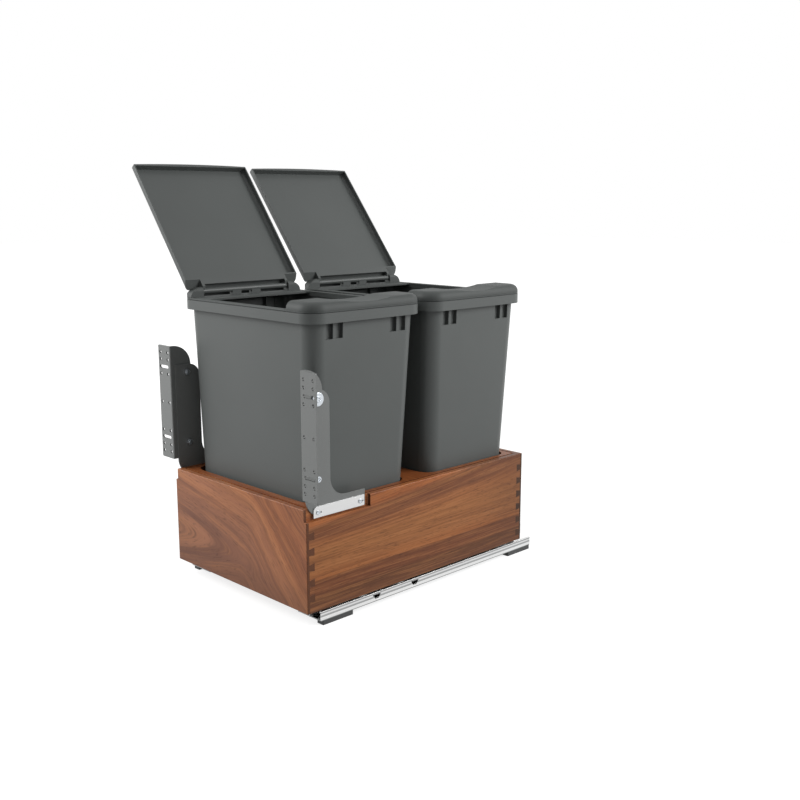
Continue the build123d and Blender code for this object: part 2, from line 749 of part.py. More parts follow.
# ================================================================ door brackets
bolt_y = box_front + bolt_back
bolt_spots = [(bolt_y, box_top + upper_bolt_rise), (bolt_y, box_top + lower_bolt_rise)]
screw_spots = [(y, screw_level) for y in behind(front_screw, rear_screw)]

with BuildPart() as door_angle:
    with BuildSketch(across(box_front - flange_front + plate_steel)):
        with Locations((web_inner, flange_middle)):
            Rectangle(flange_width, flange_height, align=(Align.MIN, Align.CENTER))
        with Locations(*[(web_inner + row, flange_middle + side * level)
                         for row in (inner_row, outer_row)
                         for level in hole_levels for side in (-1, 1)]):
            Circle(flange_hole_radius, mode=Mode.SUBTRACT)
        with Locations((web_inner + inner_row, flange_middle), (web_inner + outer_row, flange_middle)):
            Circle(flange_hole_radius, mode=Mode.SUBTRACT)
        with Locations((web_inner + slot_row, flange_middle - slot_level),
                       (web_inner + slot_row, flange_middle + slot_level)):
            SlotOverall(slot_length, slot_height, mode=Mode.SUBTRACT)
    extrude(amount=plate_steel)
    corner_edges = door_angle.edges().filter_by(Axis.Y).group_by(Axis.X)[-1]
    fillet(corner_edges, plate_steel)
    with BuildSketch(Plane.YZ.offset(web_inner)) as web_face:
        with Locations((box_front - flange_front, flange_low)):
            Rectangle(web_depth + flange_front, flange_height, align=(Align.MIN, Align.MIN))
        fillet(web_face.vertices().group_by(Axis.X)[-1].sort_by(Axis.Y)[-1], web_radius)
        fillet(web_face.vertices().group_by(Axis.X)[-1].sort_by(Axis.Y)[0], web_foot_radius)
        with Locations(*bolt_spots):
            Circle(bolt_radius + bolt_fit, mode=Mode.SUBTRACT)
    extrude(amount=plate_steel)
    bend_edge = door_angle.edges().filter_by(Axis.Z).group_by(Axis.Y)[0].sort_by(Axis.X)[0]
    fillet(bend_edge, bend_radius)

foot_near, foot_upright_back, foot_far = behind(
    foot_edge, foot_edge + foot_upright, foot_edge + foot_depth)
with BuildPart() as foot_plate:
    with BuildSketch(Plane.YZ.offset(pocket_plane)) as foot_face:
        Polygon(
            (foot_near, foot_low), (foot_far, foot_low), (foot_far, foot_shelf),
            (foot_upright_back, foot_shelf), (foot_upright_back, foot_top), (foot_near, foot_top),
            align=None)
        waist = foot_face.vertices().group_by(Axis.Y)[1].sort_by(Axis.X)[0]
        fillet(waist, foot_waist_radius)
        fillet(foot_face.vertices().group_by(Axis.Y)[-1].sort_by(Axis.X)[-1], foot_top_radius)
        fillet(foot_face.vertices().group_by(Axis.Y)[0].sort_by(Axis.X)[0], foot_low_radius)
        with Locations(*bolt_spots):
            Circle(bolt_radius + bolt_fit, mode=Mode.SUBTRACT)
        with Locations(*screw_spots):
            Circle(screw_radius + screw_fit, mode=Mode.SUBTRACT)
    extrude(amount=plate_steel)

with BuildPart() as cover_plate:
    with BuildSketch(Plane.YZ.offset(web_inner)) as cover_face:
        with Locations((box_front + cover_start, cover_low)):
            Rectangle(cover_length, cover_height, align=(Align.MIN, Align.MIN))
        top_front = cover_face.vertices().group_by(Axis.Y)[-1].sort_by(Axis.X)[0]
        fillet(top_front, cover_radius)
        with Locations(*screw_spots):
            Circle(screw_radius + screw_fit, mode=Mode.SUBTRACT)
        with Locations(*[(y + peep_step, z) for y, z in screw_spots]):
            Circle(peep_radius, mode=Mode.SUBTRACT)
    extrude(amount=cover_steel)

with BuildPart() as adjuster_disc:
    with BuildSketch(Plane.YZ.offset(web_outer)):
        with Locations(bolt_spots[0]):
            Circle(disc_radius)
            Circle(bolt_radius + bolt_fit, mode=Mode.SUBTRACT)
    extrude(amount=disc_thickness)
    fillet(adjuster_disc.faces().sort_by(Axis.X)[-1].edges().sort_by(SortBy.LENGTH)[-1],
           disc_ease)

nut_face = pocket_plane - nut_height
head_faces = (web_outer + disc_thickness, web_outer)

with BuildPart() as bracket_bolts:
    for spot, head_face in zip(bolt_spots, head_faces):
        with BuildSketch(Plane.YZ.offset(nut_face - bolt_spare)):
            with Locations(spot):
                Circle(bolt_radius)
        extrude(amount=head_face - nut_face + bolt_spare)
        with BuildSketch(Plane.YZ.offset(head_face)):
            with Locations(spot):
                Circle(bolt_head_radius)
        extrude(amount=bolt_head_height)
        with BuildSketch(Plane.YZ.offset(head_face + bolt_head_height)):
            with Locations(spot):
                Rectangle(2 * bolt_radius, cross_width)
                Rectangle(cross_width, 2 * bolt_radius)
        extrude(amount=-cross_depth, mode=Mode.SUBTRACT)

with BuildPart() as bracket_nuts:
    with BuildSketch(Plane.YZ.offset(nut_face)):
        with Locations(*bolt_spots):
            RegularPolygon(nut_across_flats / 2, 6, major_radius=False)
            Circle(bolt_radius + nut_fit, mode=Mode.SUBTRACT)
    extrude(amount=nut_height)

with BuildPart() as cover_screws:
    with BuildSketch(Plane.YZ.offset(cover_outer)):
        with Locations(*screw_spots):
            Circle(screw_radius)
    extrude(amount=-screw_length)
    with BuildSketch(Plane.YZ.offset(cover_outer)):
        with Locations(*screw_spots):
            Circle(screw_head_radius)
    extrude(amount=screw_head_height)
    with BuildSketch(Plane.YZ.offset(cover_outer + screw_head_height)):
        with Locations(*screw_spots):
            Rectangle(screw_cross_span, screw_cross_width)
            Rectangle(screw_cross_width, screw_cross_span)
    extrude(amount=-screw_head_height / 2, mode=Mode.SUBTRACT)

save_pair("door_angle", door_angle.part)
save_pair("foot_plate", foot_plate.part)
save_pair("cover_plate", cover_plate.part)
save_pair("adjuster_disc", adjuster_disc.part)
save_pair("bracket_bolts", bracket_bolts.part)
save_pair("bracket_nuts", bracket_nuts.part)
save_pair("cover_screws", cover_screws.part)

# ================================================================ slides
rail_front, middle_front, top_front = behind(rail_start, middle_start, top_start)
rail_back = rail_front + rail_length
middle_back = middle_front + middle_length
hook_front = box_back + hook_gap
hook_back = hook_front + hook_steel
foot_middles = [start + floor_foot_length / 2 for start in behind(first_foot, last_foot)]
upper_saddles = (middle_front + upper_front_saddle, middle_front + upper_rear_saddle)
lower_saddles = (middle_back - lower_front_saddle, middle_back - lower_rear_saddle)


def channel(inner, outer, low, top):
    """Downward-open channel of sheet steel, as an (x, z) sketch."""
    with Locations(((inner + outer) / 2, low)):
        Rectangle(outer - inner, top - low, align=(Align.CENTER, Align.MIN))
        Rectangle(outer - inner - 2 * rail_steel, top - rail_steel - low,
                  align=(Align.CENTER, Align.MIN), mode=Mode.SUBTRACT)


with BuildPart() as cabinet_member:
    with BuildSketch(across(rail_back)):
        with Locations((rail_inner, rail_base)):
            Rectangle(rail_width, rail_steel, align=(Align.MIN, Align.MIN))
        with Locations((half_box, rail_base)):
            Rectangle(rail_steel, rail_lip_height - rail_base, align=(Align.MAX, Align.MIN))
        with Locations((half_box, rail_lip_height)):
            Rectangle(rail_lip, rail_steel, align=(Align.MAX, Align.MAX))
        with Locations((half_box, rail_rib_level)):
            Rectangle(rail_steel + rail_rib_width, rail_rib_height,
                      align=(Align.MAX, Align.MIN))
        channel(keel_inner, keel_outer, rail_base + rail_steel, keel_top)
    extrude(amount=rail_length)
    with BuildSketch(Plane.YZ.offset(half_box)):
        for centre in behind(front_window, rear_window):
            Polygon(
                (centre - window_base / 2, window_low), (centre + window_base / 2, window_low),
                (centre + window_top / 2, window_high), (centre - window_top / 2, window_high),
                align=None)
    extrude(amount=-rail_steel - rail_rib_width, mode=Mode.SUBTRACT)
    with BuildSketch(Plane.XY.offset(rail_base)):
        with Locations(*[(foot_hole_x, y) for y in foot_middles]):
            Circle(foot_hole_radius)
        with Locations(*[(foot_hole_x, y + side * rivet_offset)
                         for y in foot_middles for side in (-1, 1)]):
            Circle(rivet_radius)
    extrude(amount=rail_steel, mode=Mode.SUBTRACT)

with BuildPart() as intermediate_member:
    with BuildSketch(across(middle_back)):
        channel(middle_inner, middle_outer, middle_low, middle_top)
    extrude(amount=middle_length)

with BuildPart() as drawer_member:
    with BuildSketch(across(hook_back)):
        channel(top_inner, top_outer, middle_low, panel_low)
    extrude(amount=hook_back - top_front)
    # the hook rises behind the back board and pins into it
    with BuildSketch(across(hook_back)):
        with Locations((hook_inner, panel_low - rail_steel)):
            Rectangle(hook_outer - hook_inner, hook_top - panel_low + rail_steel,
                      align=(Align.MIN, Align.MIN))
    extrude(amount=hook_steel)
    with BuildSketch(across(hook_front)):
        with Locations((runner_middle, hook_pin_level)):
            Circle(hook_pin_radius)
    extrude(amount=hook_pin_length)

with BuildPart() as bearing_saddles:
    for start in lower_saddles:
        with BuildSketch(across(start + saddle_length)):
            with Locations((runner_middle, middle_low)):
                Rectangle(middle_outer - middle_inner - 2 * rail_steel,
                          middle_top - rail_steel - middle_low, align=(Align.CENTER, Align.MIN))
                Rectangle(keel_outer - keel_inner + 2 * runner_gap,
                          keel_top + runner_gap - middle_low,
                          align=(Align.CENTER, Align.MIN), mode=Mode.SUBTRACT)
        extrude(amount=saddle_length)
    for start in upper_saddles:
        with BuildSketch(across(start + saddle_length)):
            with Locations((runner_middle, middle_low)):
                Rectangle(top_outer - top_inner - 2 * (rail_steel + runner_gap),
                          panel_low - rail_steel - runner_gap - middle_low,
                          align=(Align.CENTER, Align.MIN))
                Rectangle(middle_outer - middle_inner, middle_top - middle_low,
                          align=(Align.CENTER, Align.MIN), mode=Mode.SUBTRACT)
        extrude(amount=saddle_length)

with BuildPart() as damper_housing:
    with BuildSketch(across(box_back - damper_back)):
        with Locations((damper_inner, rail_base + rail_steel)):
            Rectangle(damper_width, damper_height, align=(Align.MIN, Align.MIN))
    extrude(amount=damper_length)
    fillet(damper_housing.faces().sort_by(Axis.Z)[-1].edges(), rail_steel)

with BuildPart() as locking_clip:
    with BuildSketch(Plane.XY.offset(panel_low)):
        with Locations((clip_inner, box_front + clip_start)):
            Rectangle(clip_width, clip_length, align=(Align.MIN, Align.MIN))
    extrude(amount=-clip_height)
    fillet(locking_clip.faces().sort_by(Axis.Z)[0].edges(), rail_steel)

with BuildPart() as floor_feet:
    with BuildSketch(Plane.XY):
        with Locations(*[(foot_outer - floor_foot_width / 2, y) for y in foot_middles]):
            Rectangle(floor_foot_width, floor_foot_length)
    extrude(amount=floor_foot_height)
    fillet(floor_feet.edges().filter_by(Axis.Z), rail_steel)
    with BuildSketch(Plane.XY):
        with Locations(*[(foot_hole_x, y) for y in foot_middles]):
            Circle(foot_hole_radius)
        with Locations(*[(foot_hole_x, y + side * rivet_offset)
                         for y in foot_middles for side in (-1, 1)]):
            Circle(rivet_radius)
    extrude(amount=floor_foot_height, mode=Mode.SUBTRACT)

with BuildPart() as foot_rivets:
    with BuildSketch(Plane.XY.offset(2 * rivet_head_height)):
        with Locations(*[(foot_hole_x, y + side * rivet_offset)
                         for y in foot_middles for side in (-1, 1)]):
            Circle(rivet_radius)
    extrude(amount=rail_base + rail_steel - 2 * rivet_head_height)
    with BuildSketch(Plane.XY.offset(rail_base + rail_steel)):
        with Locations(*[(foot_hole_x, y + side * rivet_offset)
                         for y in foot_middles for side in (-1, 1)]):
            Circle(rivet_head_radius)
    extrude(amount=rivet_head_height)

save_pair("cabinet_member", cabinet_member.part)
save_pair("intermediate_member", intermediate_member.part)
save_pair("drawer_member", drawer_member.part)
save_pair("bearing_saddles", bearing_saddles.part)
save_pair("damper_housing", damper_housing.part)
save_pair("locking_clip", locking_clip.part)
save_pair("floor_feet", floor_feet.part)
save_pair("foot_rivets", foot_rivets.part)
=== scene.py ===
import json
import math

import bmesh
import bpy
from mathutils import Matrix, Vector

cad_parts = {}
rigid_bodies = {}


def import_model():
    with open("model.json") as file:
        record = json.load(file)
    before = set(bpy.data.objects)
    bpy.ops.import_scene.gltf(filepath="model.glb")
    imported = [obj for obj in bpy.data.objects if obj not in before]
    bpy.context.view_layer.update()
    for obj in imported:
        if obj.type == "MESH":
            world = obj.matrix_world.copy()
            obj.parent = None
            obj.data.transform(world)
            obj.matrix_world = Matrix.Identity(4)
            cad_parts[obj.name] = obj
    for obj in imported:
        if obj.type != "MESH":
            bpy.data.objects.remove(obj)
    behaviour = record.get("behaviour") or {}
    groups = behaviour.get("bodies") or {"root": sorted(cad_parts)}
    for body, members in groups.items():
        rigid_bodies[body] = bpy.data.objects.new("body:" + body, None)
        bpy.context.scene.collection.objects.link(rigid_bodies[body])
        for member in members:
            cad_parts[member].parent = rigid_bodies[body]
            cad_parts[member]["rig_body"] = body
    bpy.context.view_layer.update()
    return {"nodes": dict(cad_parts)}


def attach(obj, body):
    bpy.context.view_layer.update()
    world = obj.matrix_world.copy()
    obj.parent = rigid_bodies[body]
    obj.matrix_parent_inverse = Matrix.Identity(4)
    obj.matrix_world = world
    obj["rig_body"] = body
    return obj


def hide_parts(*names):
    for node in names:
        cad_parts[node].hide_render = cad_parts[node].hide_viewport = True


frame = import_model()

# Pull-out double waste-bin unit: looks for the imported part. Metres, in the part's own frame:
# X across, Y front to back with the door side at -Y, Z up from the floor.
QUARTER = math.radians(90)


def linear(code):
    """An sRGB hex colour as a linear one."""
    parts = [int(code[i:i + 2], 16) / 255 for i in (1, 3, 5)]
    return (*[c / 12.92 if c <= 0.04045 else ((c + 0.055) / 1.055) ** 2.4 for c in parts], 1.0)


def add_node(tree, kind, values=None, links=None, **settings):
    """Add one node with its settings, input values and incoming links."""
    made = tree.nodes.new(kind)
    for key, value in settings.items():
        setattr(made, key, value)
    for socket, value in (values or {}).items():
        made.inputs[socket].default_value = value
    for socket, source in (links or {}).items():
        tree.links.new(source, made.inputs[socket])
    return made


def start_material(name, **values):
    """An empty material with a surface shader; returns it with its node tree and the shader."""
    material = bpy.data.materials.new(name)
    material.use_nodes = True
    tree = material.node_tree
    tree.nodes.clear()
    shader = add_node(tree, "ShaderNodeBsdfPrincipled", values={
        key.replace("_", " "): value for key, value in values.items()})
    add_node(tree, "ShaderNodeOutputMaterial", links={"Surface": shader.outputs["BSDF"]})
    return material, tree, shader


def banded(tree, distance, bands):
    """The colours listed in bands over a distance, each with its place in millimetres."""
    low, high = bands[0][0] / 1000, bands[-1][0] / 1000
    share = add_node(tree, "ShaderNodeMapRange", values={"From Min": low, "From Max": high},
                     links={"Value": distance})
    ramp = add_node(tree, "ShaderNodeValToRGB", links={"Fac": share.outputs[0]})
    spots = ramp.color_ramp.elements
    spots[0].color, spots[1].color = linear(bands[0][1]), linear(bands[-1][1])
    for at, code in bands[1:-1]:
        spots.new((at / 1000 - low) / (high - low)).color = linear(code)
    return ramp.outputs["Color"]


def two_tone(tree, code, low, high, pattern):
    """One colour that a pattern varies between a low and a high share of its strength."""
    dark, light = ((*[part * share for part in linear(code)[:3]], 1.0) for share in (low, high))
    return add_node(tree, "ShaderNodeMix", data_type="RGBA", values={"A": dark, "B": light},
                    links={"Factor": pattern}).outputs["Result"]


def fine_surface(tree, shader, pattern, rough, spread, strength, depth):
    """Let one fine pattern vary the roughness about its middle and raise a slight relief."""
    sheen = add_node(tree, "ShaderNodeMapRange",
                     values={"To Min": rough - spread, "To Max": rough + spread},
                     links={"Value": pattern})
    relief = add_node(tree, "ShaderNodeBump", values={"Strength": strength, "Distance": depth},
                      links={"Height": pattern})
    tree.links.new(sheen.outputs[0], shader.inputs["Roughness"])
    tree.links.new(relief.outputs[0], shader.inputs["Normal"])


# ---------------------------------------------------------------- wood
# walnut patterns in cycles per metre: along the grain, through the board and across the grain
WANDER = (5.0, 16.0, 16.0)          # the lines wander over 0.2 m along and 0.06 m across
GROWTH_LINES = (4.0, 90.0, 110.0)   # about 10 mm apart, with finer ones between
FIBRES = (9.0, 330.0, 420.0)        # drawn about 3 mm apart where the real ones are 0.5 mm
PORES = (70.0, 660.0, 660.0)        # 14 mm long, drawn 1.5 mm wide where they are 0.2 mm
LINE_DETAIL = 0.55                  # strength of the finer lines between the coarser ones
PORE_SHARE = 0.42
# strength of the darkening: painted shade on the front board, a darker rear end on the sides
DARKENING_SHARE = 0.42
END_SHARE = 0.82

# straight grain: lines lean between these two heights
LEAN_START, LEAN_END = 0.09, 0.22
SIDE_LEAN, BACK_LEAN = -0.11, 0.10

# arched grain of the front board
ARCH_AXIS = 0.0815                  # height of the axis in the middle of the board
ARCH_FALL = 0.05                    # fall of the axis towards the right
ARCH_ROUND = 0.035                  # radius of the arches on the axis
ARCH_TAPER = 0.155                  # how fast the arches close towards the right
SLANT = 1.04                        # beyond the middle the lines fall at about 45 degrees
SLANT_SPACING, SLANT_SHIFT = 0.69, -0.045
SLANT_FULL = 0.10                   # place to the right where only slanting lines are left


def straight_figure(tree, place, lean):
    """Height across straight grain, in metres; higher up its lines lean along the board."""
    above = add_node(tree, "ShaderNodeMapRange", interpolation_type="SMOOTHSTEP",
                     values={"From Min": LEAN_START, "From Max": LEAN_END, "To Max": lean},
                     links={"Value": place.outputs["Z"]})
    return add_node(tree, "ShaderNodeMath", operation="MULTIPLY_ADD",
                    links={0: place.outputs["X"], 1: above.outputs[0],
                           2: place.outputs["Z"]}).outputs[0]


def arched_figure(tree, place):
    """Distance across crotch grain, in metres: round arches that open to the left, whose lines
    run off to the right and turn down beyond the middle of the board."""
    level = add_node(tree, "ShaderNodeMath", operation="MULTIPLY_ADD", values={1: ARCH_FALL},
                     links={0: place.outputs["X"], 2: place.outputs["Z"]})
    rise = add_node(tree, "ShaderNodeMath", operation="SUBTRACT", values={1: ARCH_AXIS},
                    links={0: level.outputs[0]})
    square = add_node(tree, "ShaderNodeMath", operation="MULTIPLY_ADD",
                      values={2: ARCH_ROUND ** 2},
                      links={0: rise.outputs[0], 1: rise.outputs[0]})
    spread = add_node(tree, "ShaderNodeMath", operation="SQRT", links={0: square.outputs[0]})
    arch = add_node(tree, "ShaderNodeMath", operation="MULTIPLY_ADD", values={1: ARCH_TAPER},
                    links={0: place.outputs["X"], 2: spread.outputs[0]})
    fall = add_node(tree, "ShaderNodeMath", operation="MULTIPLY_ADD", values={1: SLANT},
                    links={0: place.outputs["X"], 2: place.outputs["Z"]})
    slant = add_node(tree, "ShaderNodeMath", operation="MULTIPLY_ADD",
                     values={1: SLANT_SPACING, 2: SLANT_SHIFT}, links={0: fall.outputs[0]})
    side = add_node(tree, "ShaderNodeMapRange", interpolation_type="SMOOTHSTEP",
                    values={"From Min": 0.0, "From Max": SLANT_FULL},
                    links={"Value": place.outputs["X"]})
    return add_node(tree, "ShaderNodeMix", data_type="FLOAT",
                    links={"Factor": side.outputs[0], "A": arch.outputs[0],
                           "B": slant.outputs[0]}).outputs["Result"]


def lacquered_walnut(name, turn, figure, bands, warp, ends, contrast, darkening=None):
    """American walnut, planed and clear lacquered: soft brown bands, fine lines, dark pore dashes.

    turn brings the grain to X, figure gives the distance across the grain, bands lists the
    heartwood colours over that distance in millimetres, warp is how far the lines wander, ends
    is the colour of the end grain and contrast the strength of the fine lines. The last
    argument gives an axis and two places on it, between which the board turns darker: on the
    front board this is painted shade towards its lower edge, on the side boards a darker rear end.
    """
    material, tree, shader = start_material(
        name, IOR=1.5, Specular_IOR_Level=0.15, Coat_Weight=0.05, Coat_Roughness=0.15,
        Coat_IOR=1.5)
    origin = add_node(tree, "ShaderNodeTexCoord")
    board = add_node(tree, "ShaderNodeMapping", values={"Rotation": (0, 0, turn)},
                     links={"Vector": origin.outputs["Object"]})
    wander_place = add_node(tree, "ShaderNodeMapping", values={"Scale": WANDER},
                            links={"Vector": board.outputs[0]})
    wander = add_node(tree, "ShaderNodeTexNoise",
                      values={"Scale": 1.0, "Detail": 2.0, "Roughness": 0.5},
                      links={"Vector": wander_place.outputs[0]})
    centred = add_node(tree, "ShaderNodeVectorMath", operation="SUBTRACT",
                       values={1: (0.5, 0.5, 0.5)}, links={0: wander.outputs["Color"]})
    pushed = add_node(tree, "ShaderNodeVectorMath", operation="MULTIPLY_ADD",
                      values={1: (2 * warp, warp, 2 * warp)},
                      links={0: centred.outputs[0], 2: board.outputs[0]})
    place = add_node(tree, "ShaderNodeSeparateXYZ", links={0: pushed.outputs[0]})
    across = figure(tree, place)
    # growth lines and fibres run along the grain and follow the figure
    grain = add_node(tree, "ShaderNodeCombineXYZ",
                     links={"X": place.outputs["X"], "Y": place.outputs["Y"], "Z": across})
    tone = banded(tree, across, bands)
    for scale, detail, dark, light, least, most in (
            (GROWTH_LINES, 3.0, "#523020", "#aa7248", 0.34, 0.66),
            (FIBRES, 2.0, "#4b2a1a", "#b47a4e", 0.30, 0.70)):
        stretched = add_node(tree, "ShaderNodeMapping", values={"Scale": scale},
                             links={"Vector": grain.outputs[0]})
        lines = add_node(tree, "ShaderNodeTexNoise",
                         values={"Scale": 1.0, "Detail": detail, "Roughness": LINE_DETAIL},
                         links={"Vector": stretched.outputs[0]})
        for code, full in ((dark, least), (light, most)):
            mask = add_node(tree, "ShaderNodeMapRange",
                            values={"From Min": 0.5, "From Max": full, "To Max": contrast},
                            links={"Value": lines.outputs["Fac"]})
            tone = add_node(tree, "ShaderNodeMix", data_type="RGBA", values={"B": linear(code)},
                            links={"A": tone, "Factor": mask.outputs[0]}).outputs["Result"]
    pore_place = add_node(tree, "ShaderNodeMapping", values={"Scale": PORES},
                          links={"Vector": grain.outputs[0]})
    pores = add_node(tree, "ShaderNodeTexNoise", values={"Scale": 1.0, "Detail": 1.0},
                     links={"Vector": pore_place.outputs[0]})
    pore_mask = add_node(tree, "ShaderNodeMapRange",
                         values={"From Min": 0.58, "From Max": 0.72, "To Max": PORE_SHARE},
                         links={"Value": pores.outputs["Fac"]})
    tone = add_node(tree, "ShaderNodeMix", data_type="RGBA", values={"B": linear("#3d2317")},
                    links={"A": tone, "Factor": pore_mask.outputs[0]}).outputs["Result"]
    # the board turns darker between two places on one axis: painted shade on the front board
    if darkening:
        axis, start, end = darkening
        darkened = add_node(tree, "ShaderNodeMapRange", interpolation_type="SMOOTHSTEP",
                         values={"From Min": start, "From Max": end, "To Max": DARKENING_SHARE},
                         links={"Value": place.outputs[axis]})
        tone = add_node(tree, "ShaderNodeMix", data_type="RGBA", values={"B": linear("#4e2f1e")},
                        links={"A": tone, "Factor": darkened.outputs[0]}).outputs["Result"]
    # end grain faces along the grain and drinks more finish, so it is darker
    facing = add_node(tree, "ShaderNodeMapping", values={"Rotation": (0, 0, turn)},
                      vector_type="NORMAL", links={"Vector": origin.outputs["Normal"]})
    split = add_node(tree, "ShaderNodeSeparateXYZ", links={0: facing.outputs[0]})
    along = add_node(tree, "ShaderNodeMath", operation="ABSOLUTE", links={0: split.outputs["X"]})
    end_mask = add_node(tree, "ShaderNodeMapRange",
                        values={"From Min": 0.6, "From Max": 0.85, "To Max": END_SHARE},
                        links={"Value": along.outputs[0]})
    tone = add_node(tree, "ShaderNodeMix", data_type="RGBA", values={"B": linear(ends)},
                    links={"A": tone, "Factor": end_mask.outputs[0]}).outputs["Result"]
    tree.links.new(tone, shader.inputs["Base Color"])
    fine_surface(tree, shader, lines.outputs["Fac"], 0.38, 0.08, 0.05, 0.0006)
    return material


# ---------------------------------------------------------------- moulded plastics
PLASTIC_GRAIN = 1000.0 / 1.3        # drawn 1.3 mm apart where the real grain is 0.2 mm
FLOW_MARKS = 9.0                    # a hand wide


def moulded_plastic(name, code, rough):
    """Injection-moulded plastic: one deep colour, a fine spark-eroded grain, a soft sheen and
    very faint flow marks."""
    material, tree, shader = start_material(name, IOR=1.49, Specular_IOR_Level=0.25)
    place = add_node(tree, "ShaderNodeTexCoord")
    grain = add_node(tree, "ShaderNodeTexNoise",
                     values={"Scale": PLASTIC_GRAIN, "Detail": 2.0, "Roughness": 0.6},
                     links={"Vector": place.outputs["Object"]})
    flow = add_node(tree, "ShaderNodeTexNoise",
                    values={"Scale": FLOW_MARKS, "Detail": 2.0, "Roughness": 0.5},
                    links={"Vector": place.outputs["Object"]})
    tree.links.new(two_tone(tree, code, 0.93, 1.07, flow.outputs["Fac"]),
                   shader.inputs["Base Color"])
    fine_surface(tree, shader, grain.outputs["Fac"], rough, 0.06, 0.05, 0.0004)
    return material


# ---------------------------------------------------------------- metals
ORANGE_PEEL = 500.0                 # about 2 mm from crest to crest
# the punched holes and slots of the door flanges lie in this region, given by the middle and
# half the width on each axis, and mirrored for the left flange; their walls get painted shade
PUNCHED_REGION = {"X": (0.2050, 0.0157), "Y": (-0.30665, 0.0013), "Z": (0.3259, 0.0965)}
WALL_TURN = 0.6                     # the walls of the holes face away from Y by more than this
# line patterns in cycles per metre
ROLLED_LINES = (700.0, 6.0, 700.0)  # 1.4 mm apart and 170 mm long, front to back
BRUSHED_LINES = (700.0, 14.0, 700.0)        # 1.4 mm apart and 70 mm long
ZINC_CLOUDS = (350.0, 350.0, 350.0)         # 3 mm across


def powder_coat(name, code, rough):
    """Steel under satin powder coat: an even grey with a slight orange peel.

    Inside the punched holes of the door flanges a near-black painted shade stands for their
    shadow.
    """
    material, tree, shader = start_material(name, IOR=1.5)
    place = add_node(tree, "ShaderNodeTexCoord")
    peel = add_node(tree, "ShaderNodeTexNoise", values={"Scale": ORANGE_PEEL, "Detail": 1.0},
                    links={"Vector": place.outputs["Object"]})
    coat = two_tone(tree, code, 0.95, 1.05, peel.outputs["Fac"])
    spot = add_node(tree, "ShaderNodeSeparateXYZ", links={0: place.outputs["Object"]})
    aside = add_node(tree, "ShaderNodeMath", operation="ABSOLUTE", links={0: spot.outputs["X"]})
    facing = add_node(tree, "ShaderNodeSeparateXYZ", links={0: place.outputs["Normal"]})
    painted_hole_shade = add_node(tree, "ShaderNodeMath", operation="COMPARE", values={1: 0.0, 2: WALL_TURN},
                    links={0: facing.outputs["Y"]}).outputs[0]
    for axis, value in (("X", aside.outputs[0]), ("Y", spot.outputs["Y"]),
                        ("Z", spot.outputs["Z"])):
        middle, reach = PUNCHED_REGION[axis]
        near = add_node(tree, "ShaderNodeMath", operation="COMPARE",
                        values={1: middle, 2: reach}, links={0: value})
        painted_hole_shade = add_node(tree, "ShaderNodeMath", operation="MULTIPLY",
                        links={0: painted_hole_shade, 1: near.outputs[0]}).outputs[0]
    # painted shade: the walls of the punched holes turn near black
    coat = add_node(tree, "ShaderNodeMix", data_type="RGBA", values={"B": linear("#161717")},
                    links={"A": coat, "Factor": painted_hole_shade}).outputs["Result"]
    tree.links.new(coat, shader.inputs["Base Color"])
    fine_surface(tree, shader, peel.outputs["Fac"], rough, 0.04, 0.08, 0.0003)
    return material


def worked_steel(name, code, rough, working, painted_groove_shade=()):
    """Rolled, brushed or plated steel: bright, with fine lines that follow the working.

    The last argument lists painted shade and highlight bands over the height of a rail, for the
    light and shade on its rolled grooves.
    """
    material, tree, shader = start_material(name, Metallic=1.0)
    place = add_node(tree, "ShaderNodeTexCoord")
    lined = add_node(tree, "ShaderNodeMapping", values={"Scale": working},
                     links={"Vector": place.outputs["Object"]})
    lines = add_node(tree, "ShaderNodeTexNoise",
                     values={"Scale": 1.0, "Detail": 3.0, "Roughness": 0.6},
                     links={"Vector": lined.outputs[0]})
    tone = two_tone(tree, code, 0.86, 1.0, lines.outputs["Fac"])
    # painted light and shade of the rolled grooves, as bands over the height
    if painted_groove_shade:
        spot = add_node(tree, "ShaderNodeSeparateXYZ", links={0: place.outputs["Object"]})
        tone = add_node(tree, "ShaderNodeMix", data_type="RGBA", blend_type="MULTIPLY",
                        values={"Factor": 1.0},
                        links={"A": tone, "B": banded(tree, spot.outputs["Z"], painted_groove_shade)}
                        ).outputs["Result"]
    tree.links.new(tone, shader.inputs["Base Color"])
    fine_surface(tree, shader, lines.outputs["Fac"], rough, 0.08, 0.05, 0.0002)
    return material


# ---------------------------------------------------------------- finishes
# heartwood colours over the distance across the grain, in millimetres
FRONT_BANDS = ((0, "#8a5c42"), (12, "#84573f"), (20, "#97654a"), (27, "#6b4434"), (35, "#7d523e"),
               (48, "#82553f"), (60, "#895a42"), (68, "#84563f"), (74, "#7b4e39"),
               (80, "#9a6546"), (92, "#9b6648"), (102, "#8c5a40"), (108, "#8c5a3d"),
               (116, "#a26a47"), (126, "#935c3c"), (137, "#7f4e34"), (150, "#895436"),
               (160, "#7a4930"), (174, "#90593b"), (194, "#804e35"), (225, "#8e5a3d"))
SIDE_BANDS = ((20, "#603e2b"), (36, "#643e29"), (50, "#5d3a24"), (60, "#6c3f28"), (72, "#693d26"),
              (79.5, "#683e26"), (81.5, "#955b34"), (100, "#905c37"), (132, "#905d37"),
              (152, "#935d38"), (160, "#855232"), (168, "#72462d"), (178, "#6c3f28"),
              (188, "#764a2d"), (194, "#7f4d30"), (199, "#9c5c34"), (230, "#8f542f"))
PLAIN_BANDS = ((0, "#74472b"), (60, "#84522f"), (110, "#6d4229"), (160, "#865431"),
               (220, "#784829"))
TOP_BANDS = ((0, "#7d4422"), (120, "#834a25"), (240, "#773f1f"))
